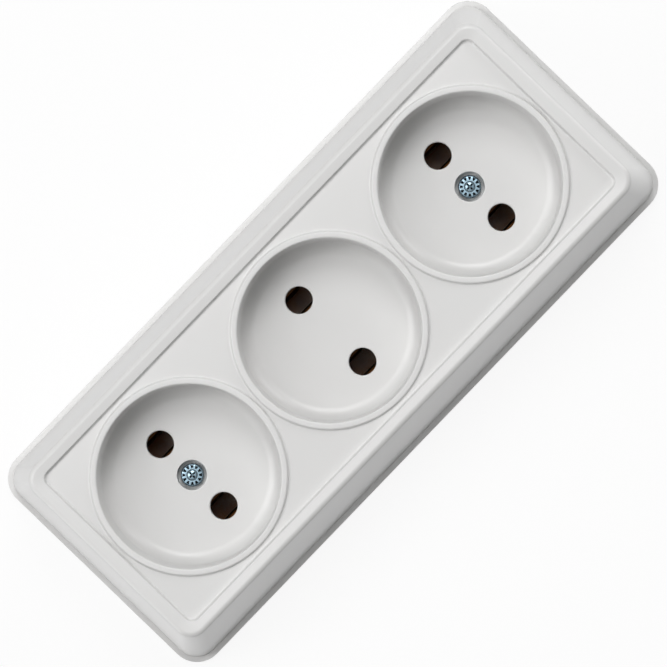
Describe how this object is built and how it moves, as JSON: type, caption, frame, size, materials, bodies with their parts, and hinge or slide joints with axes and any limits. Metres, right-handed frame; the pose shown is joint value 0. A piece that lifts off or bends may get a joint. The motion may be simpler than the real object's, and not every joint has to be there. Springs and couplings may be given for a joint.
{
  "type": "triple surface-mounted socket",
  "caption": "Surface-mounted power outlet: slanting white housing with round recessed sockets in a row, each with a pair of round pin holes, on a flat base plate.",
  "frame": {"origin": "middle of the back face, on the wall's plane", "axes": "+Z out of the wall towards the user, +Y along the row of sockets, away from the cable entry, +X across"},
  "size_m": [0.0614, 0.1488, 0.0356],
  "materials": {
    "cover_plastic": "moulded, satin gloss, warm white",
    "base_plastic": "moulded, satin gloss, warm white",
    "brass_strip": "rolled and blanked",
    "spring_bronze": "rolled and formed spring strip",
    "zinc_steel": "bright zinc plating, blue passivated"
  },
  "bodies": {
    "root": {"cover": "cover_plastic", "base": "base_plastic", "busbar_left": "brass_strip", "busbar_right": "brass_strip", "clip_left_lower": "spring_bronze", "clip_left_middle": "spring_bronze", "clip_left_upper": "spring_bronze", "clip_right_lower": "spring_bronze", "clip_right_middle": "spring_bronze", "clip_right_upper": "spring_bronze", "rivet_left_lower": "brass_strip", "rivet_left_middle": "brass_strip", "rivet_left_upper": "brass_strip", "rivet_right_lower": "brass_strip", "rivet_right_middle": "brass_strip", "rivet_right_upper": "brass_strip", "cover_screw_lower": "zinc_steel", "cover_screw_upper": "zinc_steel", "cover_nut_lower": "zinc_steel", "cover_nut_upper": "zinc_steel", "terminal_washer_left": "zinc_steel", "terminal_washer_right": "zinc_steel", "terminal_screw_left": "zinc_steel", "terminal_screw_right": "zinc_steel"}
  },
  "joints": []
}
